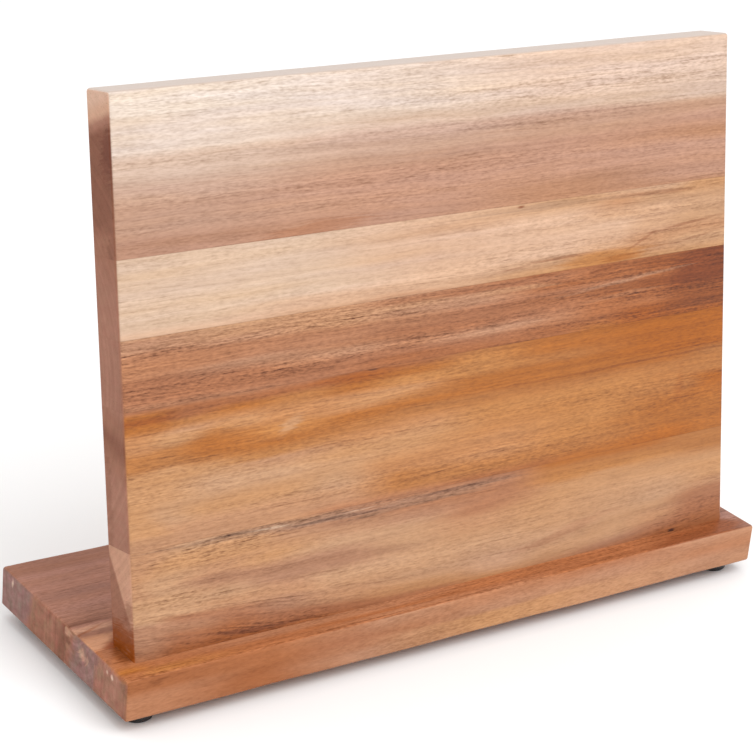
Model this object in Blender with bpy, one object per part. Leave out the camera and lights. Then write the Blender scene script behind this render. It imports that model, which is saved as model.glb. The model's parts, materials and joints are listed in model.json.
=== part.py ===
"""A magnetic knife stand: a wide board of glued acacia staves leans back on a low acacia base.

Bar magnets lie in pockets milled into the glued edges of the board. Screws and dowels come up
through the base, in line with the lean, and four small rubber feet are screwed underneath.
The origin is the middle of the footprint at floor level, with +X along the board's width, +Y
towards the back and +Z up.
"""

from math import cos, pi, radians, sin, tan

import bmesh
import bpy
from mathutils import Matrix, Vector

# Driving dimensions, in metres
BOARD_WIDTH = 0.300
BOARD_HEIGHT = 0.217
BOARD_THICKNESS = 0.0175
BOARD_LEAN = radians(10.5)
BOARD_SETBACK = 0.0115
BOARD_JOINTS = (0.0434, 0.0980, 0.1252, 0.1554)

BASE_WIDTH = 0.319
BASE_DEPTH = 0.105
BASE_THICKNESS = 0.0175
BASE_JOINTS = (0.0258, 0.0500)

GAP = 0.0003
DRILL_ALLOWANCE = 0.0006
EDGE_ROUNDING = 0.0014
ROUNDING_FACETS = 3
ROUND_STEPS = 24
SCREW_STEPS = 14

MAGNET_LENGTH = 0.038
MAGNET_THICKNESS = 0.012
MAGNET_HEIGHT = 0.018
MAGNET_PITCH = 0.046
MAGNETS_IN_A_ROW = 6
MAGNET_CHAMFER = 0.0005

RECESS_REACH = 0.55
RECESS_HALF_WIDTH = 0.12
RECESS_DEPTH = 0.62

SCREW_PLACES = (-0.120, -0.040, 0.040, 0.120)
SCREW_RADIUS = 0.0020
SCREW_ROOT_RADIUS = 0.0014
SCREW_PITCH = 0.0026
SCREW_TURNS = 8
SCREW_LENGTH = 0.038
SCREW_HEAD_RADIUS = 0.0040
SCREW_HEAD_HEIGHT = 0.0024
SCREW_SINK = 0.0030

DOWEL_PLACES = (-0.080, 0.080)
DOWEL_RADIUS = 0.0040
DOWEL_LENGTH = 0.028
DOWEL_BELOW_JOINT = 0.0115
DOWEL_FLUTES = 12
DOWEL_FLUTE_DEPTH = 0.0003
DOWEL_CHAMFER = 0.0012

FOOT_HEIGHT = 0.0056
FOOT_RADIUS = 0.0065
FOOT_ROUNDING = 0.0008
FOOT_ROUNDING_FACETS = 4
FOOT_FROM_END = 0.0115
FOOT_FROM_EDGE = 0.0120
FOOT_RECESS_RADIUS = 0.0030
FOOT_RECESS_DEPTH = 0.0036

FOOT_SCREW_RADIUS = 0.0014
FOOT_SCREW_ROOT_RADIUS = 0.0010
FOOT_SCREW_PITCH = 0.0014
FOOT_SCREW_TURNS = 4
FOOT_SCREW_LENGTH = 0.0105
FOOT_SCREW_HEAD_RADIUS = 0.0025
FOOT_SCREW_HEAD_HEIGHT = 0.0013

BASE_TOP = FOOT_HEIGHT + BASE_THICKNESS
BASE_FRONT = -BASE_DEPTH / 2
BOARD_MIDDLE = BOARD_THICKNESS / 2


def clear_scene():
    for obj in list(bpy.data.objects):
        bpy.data.objects.remove(obj)


def material(name, colour, roughness, metallic=0.0):
    made = bpy.data.materials.new(name)
    made.use_nodes = True
    shader = made.node_tree.nodes["Principled BSDF"]
    shader.inputs["Base Color"].default_value = (*colour, 1.0)
    shader.inputs["Roughness"].default_value = roughness
    shader.inputs["Metallic"].default_value = metallic
    made.diffuse_color = (*colour, 1.0)
    return made


def add_object(name, bm, finish=None, parent=None):
    bmesh.ops.recalc_face_normals(bm, faces=bm.faces)
    mesh = bpy.data.meshes.new(name)
    bm.to_mesh(mesh)
    bm.free()
    obj = bpy.data.objects.new(name, mesh)
    bpy.context.scene.collection.objects.link(obj)
    obj.parent = parent
    if finish:
        mesh.materials.append(finish)
    return obj


def lying(across, up, along):
    """An outline drawn in Y and Z, run along X."""
    return (along, across, up)


def standing(across, up, along):
    """An outline drawn in X and Y, run along Z."""
    return (across, up, along)


def prism(outline, low, high, to_space=lying):
    """A closed solid whose outline, a list of (across, up) points, runs from low to high."""
    bm = bmesh.new()
    near = [bm.verts.new(to_space(across, up, low)) for across, up in outline]
    far = [bm.verts.new(to_space(across, up, high)) for across, up in outline]
    bm.faces.new(near)
    bm.faces.new(reversed(far))
    for i, start in enumerate(near):
        after = (i + 1) % len(near)
        bm.faces.new((start, far[i], far[after], near[after]))
    bmesh.ops.recalc_face_normals(bm, faces=bm.faces)
    return bm


def block(low, high):
    outline = [(low[1], low[2]), (high[1], low[2]), (high[1], high[2]), (low[1], high[2])]
    return prism(outline, low[0], high[0])


def round_outer_edges(bm, is_joint):
    """Rounds each edge except those around a face that is glued to a neighbour."""
    glued = {edge for face in bm.faces if is_joint(face) for edge in face.edges}
    outer = [edge for edge in bm.edges if edge not in glued]
    bmesh.ops.bevel(
        bm, geom=outer, offset=EDGE_ROUNDING, segments=ROUNDING_FACETS, profile=0.5,
        affect="EDGES",
    )


def turned(profile, closed=False, steps=ROUND_STEPS):
    """A solid of revolution about Z. Its profile is a list of (radius, height) points."""
    bm = bmesh.new()
    points = [bm.verts.new((radius, 0, height)) for radius, height in profile]
    edges = [bm.edges.new(pair) for pair in zip(points, points[1:])]
    if closed:
        edges.append(bm.edges.new((points[-1], points[0])))
    bmesh.ops.spin(
        bm, geom=points + edges, axis=(0, 0, 1), cent=(0, 0, 0), angle=2 * pi, steps=steps,
        use_merge=True,
    )
    bmesh.ops.remove_doubles(bm, verts=bm.verts, dist=1e-6)
    bmesh.ops.recalc_face_normals(bm, faces=bm.faces)
    return bm


def drilling(profile, across, depth):
    """The shape of a round hole about the upright line through (across, depth)."""
    bm = turned(profile)
    bmesh.ops.translate(bm, verts=bm.verts, vec=(across, depth, 0))
    return bm


def shade_smooth(obj):
    obj.data.shade_smooth()
    obj.data.set_sharp_from_angle(angle=radians(35))


def cutter(name, bm, parent=None):
    obj = add_object(name, bm, parent=parent)
    obj.hide_render = True
    obj.display_type = "WIRE"
    return obj


def cut(target, tool):
    difference = target.modifiers.new(tool.name, "BOOLEAN")
    difference.operation = "DIFFERENCE"
    difference.solver = "EXACT"
    difference.object = tool


def joined(parts):
    """Several separate closed shapes in one mesh, as one cutter."""
    whole = bmesh.new()
    for part in parts:
        mesh = bpy.data.meshes.new("shape")
        part.to_mesh(mesh)
        part.free()
        whole.from_mesh(mesh)
        bpy.data.meshes.remove(mesh)
    return whole


def board_space():
    """The board's own axes: Y through its thickness and Z up its front face from the base."""
    space = bpy.data.objects.new("board_space", None)
    bpy.context.scene.collection.objects.link(space)
    space.location = (0, BASE_FRONT + BOARD_SETBACK, BASE_TOP)
    space.rotation_euler = (-BOARD_LEAN, 0, 0)
    return space


def board_staves(space, finishes):
    """Five full-thickness staves, bottom to top. The lowest is cut level to stand on the base."""
    names = ("bottom", "lower", "centre", "upper", "top")
    limits = (0.0, *BOARD_JOINTS, BOARD_HEIGHT)
    staves = []
    for i, name in enumerate(names):
        low = limits[i] + GAP / 2
        high = limits[i + 1] - GAP / 2
        slope = 0.0
        if name == "bottom":
            low = GAP / cos(BOARD_LEAN)
            slope = BOARD_THICKNESS * tan(BOARD_LEAN)
        if name == "top":
            high = BOARD_HEIGHT
        outline = [(0, low), (BOARD_THICKNESS, low + slope), (BOARD_THICKNESS, high), (0, high)]
        bm = prism(outline, -BOARD_WIDTH / 2, BOARD_WIDTH / 2)
        is_top = name == "top"

        def glued(face, is_top=is_top):
            upright = face.normal.z
            return upright < -0.9 or (upright > 0.9 and not is_top)

        round_outer_edges(bm, glued)
        staves.append(add_object(f"board_stave_{name}", bm, finishes[name], space))
    return staves


def magnet_row(space, stave, joint, row, finish):
    """A row of bar magnets in pockets milled down into the stave from the joint above it."""
    stave_top = joint - GAP / 2
    floor = stave_top - MAGNET_HEIGHT - 2 * GAP
    half = Vector((MAGNET_LENGTH, MAGNET_THICKNESS, 0)) / 2
    room = half + Vector((GAP, GAP, 0))
    pockets = []
    for i in range(MAGNETS_IN_A_ROW):
        across = (i - (MAGNETS_IN_A_ROW - 1) / 2) * MAGNET_PITCH
        centre = Vector((across, BOARD_MIDDLE, 0))
        pockets.append(
            block(centre - room + Vector((0, 0, floor)), centre + room + Vector((0, 0, joint)))
        )
        bottom = Vector((0, 0, floor + GAP))
        top = bottom + Vector((0, 0, MAGNET_HEIGHT))
        bm = block(centre - half + bottom, centre + half + top)
        bmesh.ops.bevel(
            bm, geom=bm.edges[:], offset=MAGNET_CHAMFER, segments=1, affect="EDGES"
        )
        add_object(f"magnet_{row}_{i + 1}", bm, finish, space)
    cut(stave, cutter(f"cut_pockets_{row}", joined(pockets), space))


def wood_screw(head_radius, head_height, radius, root_radius, pitch, turns, length):
    """A pan-head screw, head down at height 0, with its thread as rings and a pointed tip."""
    crown = [(0.0, 0.0), (0.72, 0.0), (0.94, 0.3), (1.0, 0.6), (1.0, 1.0)]
    profile = [(head_radius * across, head_height * up) for across, up in crown]
    shank_radius = (radius + root_radius) / 2
    thread_top = length - 2 * pitch
    thread_start = thread_top - turns * pitch
    profile += [(shank_radius, head_height), (shank_radius, thread_start - pitch / 4)]
    for turn in range(turns):
        height = thread_start + turn * pitch
        profile += [(root_radius, height), (radius, height + pitch / 2)]
    profile += [(root_radius, thread_top), (0, length)]
    return turned(profile, steps=SCREW_STEPS)


def cross_outline(reach, half_width):
    """The plus-shaped outline of a cross recess."""
    quarter = [(reach, -half_width), (reach, half_width), (half_width, half_width)]
    turns = (Matrix.Rotation(pi / 2 * i, 2) for i in range(4))
    return [tuple(turn @ Vector(point)) for turn in turns for point in quarter]


def add_screw(name, bm, place, head, finish, parent=None):
    """Sets a screw in place and cuts the cross recess into its head, (radius, height)."""
    head_radius, head_height = head
    screw = add_object(name, bm, finish, parent)
    screw.location = place
    outline = cross_outline(head_radius * RECESS_REACH, head_radius * RECESS_HALF_WIDTH)
    shape = prism(outline, -head_height, head_height * RECESS_DEPTH, standing)
    recess = cutter(f"cut_{name}", shape, parent)
    recess.location = place
    cut(screw, recess)
    shade_smooth(screw)


def fasten_board(space, bottom_stave, front_stave, finishes):
    """Screws and dowels from the base up into the board, all in line with its lean."""
    underside = (BOARD_MIDDLE * sin(BOARD_LEAN) - BASE_THICKNESS) / cos(BOARD_LEAN)
    seat = underside + SCREW_SINK + SCREW_HEAD_HEIGHT
    holes = []
    for i, across in enumerate(SCREW_PLACES):
        place = (across, BOARD_MIDDLE, underside + SCREW_SINK)
        bm = wood_screw(
            SCREW_HEAD_RADIUS, SCREW_HEAD_HEIGHT, SCREW_RADIUS, SCREW_ROOT_RADIUS, SCREW_PITCH,
            SCREW_TURNS, SCREW_LENGTH,
        )
        head = (SCREW_HEAD_RADIUS, SCREW_HEAD_HEIGHT)
        add_screw(f"board_screw_{i + 1}", bm, place, head, finishes["steel"], space)
        hole = SCREW_RADIUS + GAP
        counterbore = SCREW_HEAD_RADIUS + GAP
        shoulder = seat + GAP
        end = place[2] + SCREW_LENGTH + DRILL_ALLOWANCE
        outside = underside - SCREW_HEAD_RADIUS
        profile = [(0, outside), (counterbore, outside)]
        profile += [(counterbore, shoulder), (hole, shoulder), (hole, end - hole), (0, end)]
        holes.append(drilling(profile, across, BOARD_MIDDLE))
    joint = BOARD_MIDDLE * tan(BOARD_LEAN)
    for i, across in enumerate(DOWEL_PLACES):
        start = joint - DOWEL_BELOW_JOINT
        dowel = add_object(f"board_dowel_{i + 1}", fluted_dowel(), finishes["beech"], space)
        dowel.location = (across, BOARD_MIDDLE, start)
        shade_smooth(dowel)
        hole = DOWEL_RADIUS + GAP
        profile = [(0, start - GAP), (hole, start - GAP)]
        profile += [(hole, start + DOWEL_LENGTH + GAP), (0, start + DOWEL_LENGTH + GAP)]
        holes.append(drilling(profile, across, BOARD_MIDDLE))
    tool = cutter("cut_board_fixings", joined(holes), space)
    cut(bottom_stave, tool)
    cut(front_stave, tool)


def fluted_dowel():
    """A grooved dowel with chamfered ends, standing on height 0."""
    bm = bmesh.new()
    sections = (
        (0.0, 1 - DOWEL_CHAMFER / DOWEL_RADIUS),
        (DOWEL_CHAMFER, 1.0),
        (DOWEL_LENGTH - DOWEL_CHAMFER, 1.0),
        (DOWEL_LENGTH, 1 - DOWEL_CHAMFER / DOWEL_RADIUS),
    )
    count = 2 * DOWEL_FLUTES
    rings = []
    for height, scale in sections:
        ring = []
        for i in range(count):
            radius = (DOWEL_RADIUS - DOWEL_FLUTE_DEPTH * (i % 2)) * scale
            angle = 2 * pi * i / count
            ring.append(bm.verts.new((radius * cos(angle), radius * sin(angle), height)))
        rings.append(ring)
    bm.faces.new(reversed(rings[0]))
    bm.faces.new(rings[-1])
    for lower, higher in zip(rings, rings[1:]):
        for i in range(count):
            after = (i + 1) % count
            bm.faces.new((lower[i], lower[after], higher[after], higher[i]))
    return bm


def base_staves(finishes):
    """Three staves glued edge to edge, front to back."""
    names = ("front", "middle", "back")
    limits = (0.0, *BASE_JOINTS, BASE_DEPTH)
    staves = []
    for i, name in enumerate(names):
        near = limits[i] + (GAP / 2 if i else 0)
        far = limits[i + 1] - (GAP / 2 if i < len(names) - 1 else 0)
        low = Vector((-BASE_WIDTH / 2, BASE_FRONT + near, FOOT_HEIGHT))
        high = Vector((BASE_WIDTH / 2, BASE_FRONT + far, BASE_TOP))
        bm = block(low, high)

        def glued(face, is_first=i == 0, is_last=i == len(names) - 1):
            depth = face.normal.y
            return (depth < -0.9 and not is_first) or (depth > 0.9 and not is_last)

        round_outer_edges(bm, glued)
        staves.append(add_object(f"base_stave_{name}", bm, finishes[name]))
    return staves


def foot_shape():
    """A round rubber foot with a rounded lower rim and a recess for its screw."""
    top = FOOT_HEIGHT - GAP
    hole = FOOT_SCREW_RADIUS + GAP
    profile = [(hole, top), (hole, FOOT_RECESS_DEPTH), (FOOT_RECESS_RADIUS, FOOT_RECESS_DEPTH)]
    profile += [(FOOT_RECESS_RADIUS, 0)]
    centre = FOOT_RADIUS - FOOT_ROUNDING
    for step in range(FOOT_ROUNDING_FACETS + 1):
        angle = pi / 2 * (step / FOOT_ROUNDING_FACETS - 1)
        profile.append((centre + FOOT_ROUNDING * cos(angle), FOOT_ROUNDING * (1 + sin(angle))))
    profile += [(FOOT_RADIUS, top)]
    return turned(profile, closed=True)


def add_feet(front_stave, back_stave, finishes):
    """Four feet and their screws, with a pilot hole for each in the base."""
    end = BASE_WIDTH / 2 - FOOT_FROM_END
    edge = BASE_DEPTH / 2 - FOOT_FROM_EDGE
    for row, stave, depth in (("front", front_stave, -edge), ("back", back_stave, edge)):
        pilots = []
        for side, across in (("left", -end), ("right", end)):
            foot = add_object(f"foot_{row}_{side}", foot_shape(), finishes["rubber"])
            foot.location = (across, depth, 0)
            shade_smooth(foot)
            head_low = FOOT_RECESS_DEPTH - GAP - FOOT_SCREW_HEAD_HEIGHT
            place = (across, depth, head_low)
            bm = wood_screw(
                FOOT_SCREW_HEAD_RADIUS, FOOT_SCREW_HEAD_HEIGHT, FOOT_SCREW_RADIUS,
                FOOT_SCREW_ROOT_RADIUS, FOOT_SCREW_PITCH, FOOT_SCREW_TURNS, FOOT_SCREW_LENGTH,
            )
            head = (FOOT_SCREW_HEAD_RADIUS, FOOT_SCREW_HEAD_HEIGHT)
            add_screw(f"foot_screw_{row}_{side}", bm, place, head, finishes["steel"])
            hole = FOOT_SCREW_RADIUS + GAP
            tip = head_low + FOOT_SCREW_LENGTH + DRILL_ALLOWANCE
            profile = [(0, 0), (hole, 0), (hole, tip - hole), (0, tip)]
            pilots.append(drilling(profile, across, depth))
        cut(stave, cutter(f"cut_pilots_{row}", joined(pilots)))


def main():
    clear_scene()
    finishes = {
        "top": material("acacia_top", (0.64, 0.42, 0.29), 0.42),
        "upper": material("acacia_upper", (0.78, 0.54, 0.33), 0.42),
        "centre": material("acacia_centre", (0.42, 0.20, 0.10), 0.42),
        "lower": material("acacia_lower", (0.53, 0.25, 0.09), 0.42),
        "bottom": material("acacia_bottom", (0.60, 0.34, 0.17), 0.42),
        "front": material("acacia_front", (0.47, 0.20, 0.09), 0.42),
        "middle": material("acacia_middle", (0.40, 0.21, 0.13), 0.42),
        "back": material("acacia_back", (0.33, 0.18, 0.13), 0.42),
        "magnet": material("magnet_nickel", (0.62, 0.61, 0.58), 0.30, 1.0),
        "steel": material("zinc_plated_steel", (0.56, 0.57, 0.58), 0.32, 1.0),
        "beech": material("beech", (0.68, 0.45, 0.27), 0.60),
        "rubber": material("dark_rubber", (0.030, 0.022, 0.020), 0.45),
    }
    space = board_space()
    bottom, lower, _centre, upper, _top = board_staves(space, finishes)
    magnet_row(space, lower, BOARD_JOINTS[1], "lower", finishes["magnet"])
    magnet_row(space, upper, BOARD_JOINTS[3], "upper", finishes["magnet"])
    front, _middle, back = base_staves(finishes)
    fasten_board(space, bottom, front, finishes)
    add_feet(front, back, finishes)


main()
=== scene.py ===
"""The looks of a magnetic knife stand: acacia staves, magnets, screws, dowels and rubber feet.

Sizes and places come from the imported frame. The board leans back, so its pieces are built in
the board's own axes (X across, Y through its thickness, Z up its front face) and turned into
place. Inside the wood materials, lengths are in millimetres.
"""

import json
from math import cos, pi, radians, sin

import bmesh
import bpy
from mathutils import Matrix, Vector

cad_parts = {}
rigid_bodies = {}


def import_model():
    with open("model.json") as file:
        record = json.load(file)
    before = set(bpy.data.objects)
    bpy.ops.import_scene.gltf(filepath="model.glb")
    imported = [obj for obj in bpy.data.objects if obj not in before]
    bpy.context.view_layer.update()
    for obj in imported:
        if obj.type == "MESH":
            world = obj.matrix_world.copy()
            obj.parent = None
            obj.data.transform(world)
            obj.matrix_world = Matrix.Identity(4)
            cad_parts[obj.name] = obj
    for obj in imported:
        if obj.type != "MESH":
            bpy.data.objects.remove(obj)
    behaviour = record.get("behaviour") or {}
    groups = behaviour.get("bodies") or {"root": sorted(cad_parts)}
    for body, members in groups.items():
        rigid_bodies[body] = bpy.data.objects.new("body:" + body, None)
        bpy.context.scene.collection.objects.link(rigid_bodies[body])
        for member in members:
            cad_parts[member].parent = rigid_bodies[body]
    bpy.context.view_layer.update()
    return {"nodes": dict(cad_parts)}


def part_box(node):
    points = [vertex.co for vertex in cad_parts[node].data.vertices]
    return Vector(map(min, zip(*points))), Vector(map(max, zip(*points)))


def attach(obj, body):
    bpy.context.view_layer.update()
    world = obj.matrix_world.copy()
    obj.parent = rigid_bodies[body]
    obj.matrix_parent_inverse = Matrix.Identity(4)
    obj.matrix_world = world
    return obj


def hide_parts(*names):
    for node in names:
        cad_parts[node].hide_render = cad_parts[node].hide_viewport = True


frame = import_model()

MM = 0.001
BOARD_LEAN = radians(10.5)

EDGE_ROUNDING = 0.0014
EDGE_VARIATION = 0.00025
EDGE_FADE = 0.02
ROUNDING_STEPS = 7
STAVE_SECTIONS = 30
CAP_TURN = 0.985
SHARP_ANGLE = radians(38)
SHADING_WEIGHT = 80

SCREW_RADIUS = 0.0020
FOOT_SCREW_RADIUS = 0.0014
# A screw: the radius of its thread at the root and the crest, the thread's pitch and length,
# and the height of the head over the head's radius
BOARD_SCREW = (0.0014, SCREW_RADIUS, 0.0026, 0.026, 0.60)
FOOT_SCREW = (0.0010, FOOT_SCREW_RADIUS, 0.0014, 0.0078, 0.52)
SCREW_CROWN = ((0.02, 0.0), (0.45, 0.0), (0.72, 0.02), (0.84, 0.10), (0.93, 0.26),
               (0.985, 0.48), (1.0, 0.72), (1.0, 0.90), (0.97, 1.0))
SCREW_RINGS_IN_A_PITCH = 11
SCREW_FILLET = 0.0004
SCREW_TIP_RADIUS = 0.00004
CROSS_REACH = 0.55
CROSS_HALF_WIDTH = 0.12
CROSS_DEPTH = 0.62

HOLE_CLEARANCE = 0.0003
HOLE_TIP = 0.05
SCREW_HEAD_HEIGHT = 0.0024
SCREW_BORE_DEPTH = 0.009
SCREW_HOLE_SPARE = 0.0006
DOWEL_HOLE_SPARE = 0.0045

DOWEL_CHAMFER = 0.0012
DOWEL_EASING = 0.0003
DOWEL_SECTIONS = 12
DOWEL_FLUTES = 12
DOWEL_FLUTE_DEPTH = 0.0004
DOWEL_FLUTE_TWIST = 60
MAGNET_ROUNDING = 0.0006

FOOT_BORE = FOOT_SCREW_RADIUS + HOLE_CLEARANCE
FOOT_RECESS_RADIUS = 0.0030
FOOT_RECESS_DEPTH = 0.0036
FOOT_RIM = 0.0008
FOOT_INNER_RIM = 0.00025
FOOT_LIP = 0.0003
FOOT_GROOVE = (0.0, 0.00012, 0.00012, 0.0)
FOOT_GROOVE_RADII = (0.0044, 0.0045, 0.0047, 0.0048)
FOOT_GROOVE_DROPS = (0.0013, 0.0012, 0.0010, 0.0009)

SCREW_SIDES = 36
HOLE_SIDES = 48
FOOT_SIDES = 96
DOWEL_SIDES = 120

# How each kind of surface is lit in the studio: its brightness, and the sheen on top
FACE = (1.35, 0.022)
FRONT = (1.22, 0.010)
TOP = (0.97, 0.022)
LEDGE = (1.20, 0.004)
END = (1.05, 0.018)

BOARD_STAVES = ("bottom", "lower", "centre", "upper", "top")
BASE_STAVES = ("front", "middle", "back")
BASE_LONG_EDGES = {"front": {"near"}, "middle": set(), "back": {"far"}}
BASE_EDGE_SEED = 7
ROWS = ("upper", "lower")
MAGNETS_IN_A_ROW = 6
BOARD_SCREWS = 4
BOARD_DOWELS = 2
FOOT_ROWS = ("front", "back")
SIDES = ("left", "right")

PALETTE = {
    # milk and cream, used near the board's top, are pale wood with painted sheen over it.
    "milk": (246, 227, 212),
    "cream": (239, 216, 199),
    "peach": (235, 203, 181),
    "straw": (230, 197, 170),
    "shell": (224, 193, 172),
    "wheat": (227, 185, 155),
    "biscuit": (218, 171, 136),
    "blush": (211, 173, 151),
    "sand": (210, 162, 124),
    "honey": (211, 156, 110),
    "fawn": (204, 151, 113),
    "salmon": (204, 155, 129),
    "rose": (202, 159, 134),
    "copper": (194, 142, 110),
    "dusk": (193, 146, 121),
    "chestnut": (189, 130, 95),
    "clay": (184, 132, 101),
    "brick": (181, 120, 86),
    "russet": (178, 112, 73),
    "cinnamon": (185, 117, 76),
    "sienna": (168, 103, 66),
    "apricot": (206, 144, 96),
    "amber": (203, 138, 82),
    "tawny": (194, 128, 75),
    "ochre": (189, 116, 58),
    "orange": (185, 107, 44),
    "rust": (172, 98, 50),
    "cocoa": (152, 88, 54),
    "mahogany": (139, 77, 50),
    "umber": (138, 74, 36),
    "garnet": (112, 54, 26),
    # Painted sheen: the grey of the board's top face, a reflection of the pale studio seen at a
    # grazing angle.
    "painted_sheen_grey": (190, 172, 160),
    "greige": (164, 130, 108),
    "plum": (172, 124, 106),
    "mauve": (162, 116, 98),
    "taupe": (147, 113, 105),
    "hazel": (154, 108, 89),
    "walnut": (136, 92, 75),
    "bark": (113, 69, 58),
    "ink": (70, 44, 34),
}


# ---------------------------------------------------------------- colours


def linear(value):
    value /= 255
    return value / 12.92 if value <= 0.04045 else ((value + 0.055) / 1.055) ** 2.4


def srgb(red, green, blue):
    return (linear(red), linear(green), linear(blue), 1.0)


def tone(name, lit):
    """A palette colour as paint. The palette holds colours as they look in the studio, so the
    sheen that a side of the object has there is taken off, and its brightness divided out."""
    light, sheen = lit
    return (*(max((part - sheen) / light, 0.004) for part in srgb(*PALETTE[name])[:3]), 1.0)


# ---------------------------------------------------------------- node graphs


class Field:
    """A number, vector or colour that varies over a surface."""

    def __init__(self, graph, socket):
        self.graph = graph
        self.socket = socket

    def __add__(self, other):
        return self.graph.maths("ADD", self, other)

    def __sub__(self, other):
        return self.graph.maths("SUBTRACT", self, other)

    def __rsub__(self, other):
        return self.graph.maths("SUBTRACT", other, self)

    def __mul__(self, other):
        return self.graph.maths("MULTIPLY", self, other)


class Graph:
    """A new material, and short names for the nodes that the looks are made from."""

    def __init__(self, name):
        self.material = bpy.data.materials.new(name)
        self.material.use_nodes = True
        self.tree = self.material.node_tree
        self.shader = self.tree.nodes["Principled BSDF"]
        self.surface = self.node("TexCoord")

    def put(self, socket, value):
        if isinstance(value, Field):
            self.tree.links.new(value.socket, socket)
        else:
            socket.default_value = value

    def node(self, kind, inputs=(), **settings):
        made = self.tree.nodes.new("ShaderNode" + kind)
        for setting, value in settings.items():
            setattr(made, setting, value)
        for place, value in dict(inputs).items():
            self.put(made.inputs[place], value)
        return made

    def maths(self, operation, *values):
        made = self.node("Math", enumerate(values), operation=operation)
        return Field(self, made.outputs[0])

    def vectors(self, operation, *values):
        made = self.node("VectorMath", enumerate(values), operation=operation)
        return Field(self, made.outputs["Value" if operation == "LENGTH" else "Vector"])

    def mapped(self, value, low, high, to_low=0.0, to_high=1.0, smooth=True):
        kind = "SMOOTHSTEP" if smooth else "LINEAR"
        inputs = {0: value, 1: low, 2: high, 3: to_low, 4: to_high}
        made = self.node("MapRange", inputs, interpolation_type=kind)
        return Field(self, made.outputs[0])

    def vector(self, x, y, z):
        return Field(self, self.node("CombineXYZ", {0: x, 1: y, 2: z}).outputs[0])

    def parts(self, vector):
        made = self.node("SeparateXYZ", {0: vector})
        return [Field(self, output) for output in made.outputs]

    def objects(self):
        return Field(self, self.surface.outputs["Object"])

    def normals(self):
        return Field(self, self.surface.outputs["Normal"])

    def noise(self, vector, scale, detail=2.0, roughness=0.5):
        moved = self.vectors("MULTIPLY", vector, scale)
        inputs = {"Vector": moved, "Scale": 1.0, "Detail": detail, "Roughness": roughness}
        return Field(self, self.node("TexNoise", inputs).outputs[0])

    def ramp(self, value, text, lit):
        """text holds values, in rising order, each followed by the name of its colour."""
        words = text.split()
        stops = list(zip(map(float, words[::2]), words[1::2]))
        low, high = stops[0][0], stops[-1][0]
        factor = self.mapped(value, low, high, smooth=False)
        made = self.node("ValToRGB", {0: factor})
        made.color_ramp.interpolation = "EASE"
        elements = made.color_ramp.elements
        elements[0].color = tone(stops[0][1], lit)
        elements[1].color = tone(stops[-1][1], lit)
        for place, name in stops[1:-1]:
            elements.new((place - low) / (high - low)).color = tone(name, lit)
        return Field(self, made.outputs[0])

    def mixed(self, factor, first, second):
        made = self.node("Mix", {0: factor, 6: first, 7: second}, data_type="RGBA")
        return Field(self, made.outputs[2])

    def shaded(self, colour, amount, depth):
        """The colour times 1 - amount * depth, channel by channel."""
        red, green, blue = depth
        kept = self.vectors("MULTIPLY_ADD", self.vector(amount, amount, amount),
                            (-red, -green, -blue), (1, 1, 1))
        if not isinstance(colour, Field):
            colour = colour[:3]
        return self.vectors("MULTIPLY", colour, kept)

    def bump(self, height, distance, strength):
        inputs = {"Strength": strength, "Distance": distance, "Height": height}
        self.put(self.shader.inputs["Normal"], Field(self, self.node("Bump", inputs).outputs[0]))

    def finish(self, **values):
        for name, value in values.items():
            self.put(self.shader.inputs[name.replace("_", " ")], value)
        return self.material


# ---------------------------------------------------------------- places from the frame


def node_points(name):
    return [vertex.co.copy() for vertex in frame["nodes"][name].data.vertices]


def find_board_space():
    """The board's own axes, from the front face of a stave and the top of the base."""
    turn = Matrix.Rotation(BOARD_LEAN, 4, "X")
    front = min((turn @ point).y for point in node_points("board_stave_centre"))
    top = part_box("base_stave_front")[1].z
    origin = Vector((0, (front + top * sin(BOARD_LEAN)) / cos(BOARD_LEAN), top))
    return Matrix.Translation(origin) @ turn.inverted()


BOARD_SPACE = find_board_space()
TO_BOARD = BOARD_SPACE.inverted()
ROW_SPACE = Matrix.Identity(4)


def corners(points):
    low = Vector([min(point[i] for point in points) for i in range(3)])
    high = Vector([max(point[i] for point in points) for i in range(3)])
    return low, high


def board_box(name):
    """Lowest and highest corners of a CAD node in the board's own axes."""
    return corners([TO_BOARD @ point for point in node_points(name)])


def joined_box(boxes):
    return corners([point for box in boxes for point in box])


def glue_joints(boxes, axis, first, last):
    """The two ends of a row of staves, and the glue joints midway across its gaps."""
    inner = [(near[1][axis] + far[0][axis]) / 2 for near, far in zip(boxes, boxes[1:])]
    return [first, *inner, last]


BOARD_BOXES = [board_box(f"board_stave_{name}") for name in BOARD_STAVES]
BASE_BOXES = [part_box(f"base_stave_{name}") for name in BASE_STAVES]
BOARD_LOW, BOARD_HIGH = joined_box(BOARD_BOXES)
BASE_LOW, BASE_HIGH = joined_box(BASE_BOXES)
JOINT_HEIGHTS = glue_joints(BOARD_BOXES, 2, 0.0, BOARD_HIGH.z)
JOINT_DEPTHS = glue_joints(BASE_BOXES, 1, BASE_LOW.y, BASE_HIGH.y)


# ---------------------------------------------------------------- wood


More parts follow.
